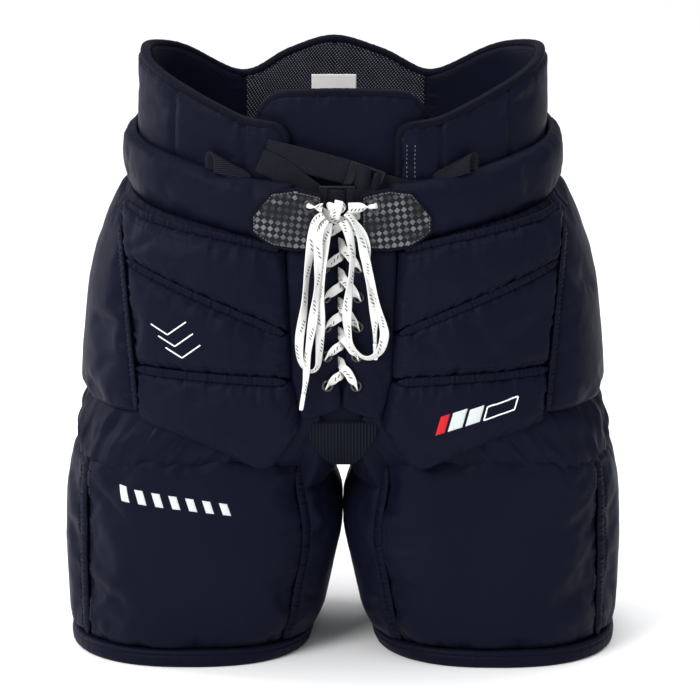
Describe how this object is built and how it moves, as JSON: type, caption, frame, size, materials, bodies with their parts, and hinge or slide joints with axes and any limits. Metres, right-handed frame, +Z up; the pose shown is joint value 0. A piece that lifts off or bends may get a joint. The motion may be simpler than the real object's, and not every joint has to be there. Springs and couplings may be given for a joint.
{
  "type": "hockey pants",
  "caption": "Padded goalie hockey pants with a waist belt, inner wrap, laced fly, hanging front flaps and two padded legs.",
  "frame": {"origin": "on the floor under the middle of the pants, which stand on their two leg hems", "axes": "+Z up, +X the wearer's left, -Y the front with the laced fly"},
  "size_m": [0.548, 0.3052, 0.602],
  "materials": {
    "nylon": "satin woven nylon, near-black navy",
    "gusset": "soft stretch fabric, near-black navy",
    "lining": "matte nylon",
    "board": "plain moulded sheet",
    "tab": "clear-coated woven pattern in grey and black",
    "eyelet": "black gloss",
    "lace": "flat white braid with black tracer threads",
    "lace_tip": "white heat-shrunk tip",
    "webbing": "ribbed black webbing",
    "buckle": "moulded black plastic, slight sheen",
    "label": "plain white satin tape"
  },
  "bodies": {
    "pants": {"front_pad_upper_left": "nylon", "front_pad_upper_right": "nylon", "front_pad_middle_left": "nylon", "front_pad_middle_right": "nylon", "hip_pad_left": "nylon", "hip_pad_right": "nylon", "seat_pad_left": "nylon", "seat_pad_right": "nylon", "shell_left": "lining", "shell_right": "lining", "fly_panel_left": "nylon", "fly_panel_right": "nylon", "fly_eyelets_left": "eyelet", "fly_eyelets_right": "eyelet", "belt_left": "nylon", "belt_right": "nylon", "belt_tab_left": "tab", "belt_tab_right": "tab", "tab_eyelet_left": "eyelet", "tab_eyelet_right": "eyelet", "wrap_wing_left": "nylon", "wrap_wing_right": "nylon", "lace_loop_left": "lace", "lace_loop_right": "lace", "lace_tail_left": "lace", "lace_tail_right": "lace", "aglet_left": "lace_tip", "aglet_right": "lace_tip", "tailbone_pad": "nylon", "tailbone_plate": "board", "fly_gusset": "nylon", "crotch_gusset": "gusset", "belt_back": "nylon", "wrap_back": "nylon", "fly_lace": "lace", "lace_knot": "lace", "wrap_strap": "webbing", "wrap_strap_anchor": "webbing", "waist_strap": "webbing", "waist_strap_anchor": "webbing", "wrap_buckle": "buckle"},
    "waist_buckle": {"waist_buckle": "buckle"},
    "belly_pad": {"belly_pad": "nylon"},
    "care_label": {"care_label": "label"},
    "left_leg": {"thigh_pad_left": "nylon", "thigh_plate_left": "board", "thigh_side_pad_left": "nylon", "back_thigh_panel_left": "nylon", "inner_thigh_panel_left": "gusset", "leg_hem_left": "nylon"},
    "left_flap": {"front_pad_lower_left": "nylon"},
    "left_suspender_loop": {"suspender_loop_left": "webbing"},
    "right_leg": {"thigh_pad_right": "nylon", "thigh_plate_right": "board", "thigh_side_pad_right": "nylon", "back_thigh_panel_right": "nylon", "inner_thigh_panel_right": "gusset", "leg_hem_right": "nylon"},
    "right_flap": {"front_pad_lower_right": "nylon"},
    "right_suspender_loop": {"suspender_loop_right": "webbing"}
  },
  "joints": [
    {"name": "left_leg_swing", "type": "hinge", "parent": "pants", "child": "left_leg", "pos_m": [0.14, -0.04, 0.235], "axis": [-1, 0, 0], "range_deg": [0, 25]},
    {"name": "left_flap_swing", "type": "hinge", "parent": "pants", "child": "left_flap", "pos_m": [0.055, -0.154, 0.302], "axis": [-0.972, -0.235, 0], "range_deg": [0, 17.5]},
    {"name": "left_suspender_loop_flop", "type": "hinge", "parent": "pants", "child": "left_suspender_loop", "pos_m": [0.11, -0.1286, 0.5025], "axis": [0.9766, 0, 0.2149], "range_deg": [0, 65], "stiffness_Nm_per_rad": 0.01},
    {"name": "right_leg_swing", "type": "hinge", "parent": "pants", "child": "right_leg", "pos_m": [-0.14, -0.04, 0.235], "axis": [-1, 0, 0], "range_deg": [0, 25]},
    {"name": "right_flap_swing", "type": "hinge", "parent": "pants", "child": "right_flap", "pos_m": [-0.055, -0.154, 0.302], "axis": [-0.972, 0.235, 0], "range_deg": [0, 17.5]},
    {"name": "right_suspender_loop_flop", "type": "hinge", "parent": "pants", "child": "right_suspender_loop", "pos_m": [-0.11, -0.1286, 0.5025], "axis": [0.9766, 0, -0.2149], "range_deg": [0, 65], "stiffness_Nm_per_rad": 0.01},
    {"name": "belly_pad_tilt", "type": "hinge", "parent": "pants", "child": "belly_pad", "pos_m": [0, -0.104, 0.44], "axis": [-1, 0, 0], "range_deg": [0, 40]},
    {"name": "waist_buckle_tilt", "type": "hinge", "parent": "pants", "child": "waist_buckle", "pos_m": [-0.0045, -0.1298, 0.459], "axis": [1, 0, 0], "range_deg": [0, 12]},
    {"name": "care_label_flip", "type": "hinge", "parent": "pants", "child": "care_label", "pos_m": [-0.0125, 0.1105, 0.55], "axis": [-1, 0, 0], "range_deg": [0, 60]}
  ],
  "couplings": [
    {"joint": "left_flap_swing", "follows": "left_leg_swing", "ratio": 0.7},
    {"joint": "right_flap_swing", "follows": "right_leg_swing", "ratio": 0.7}
  ]
}
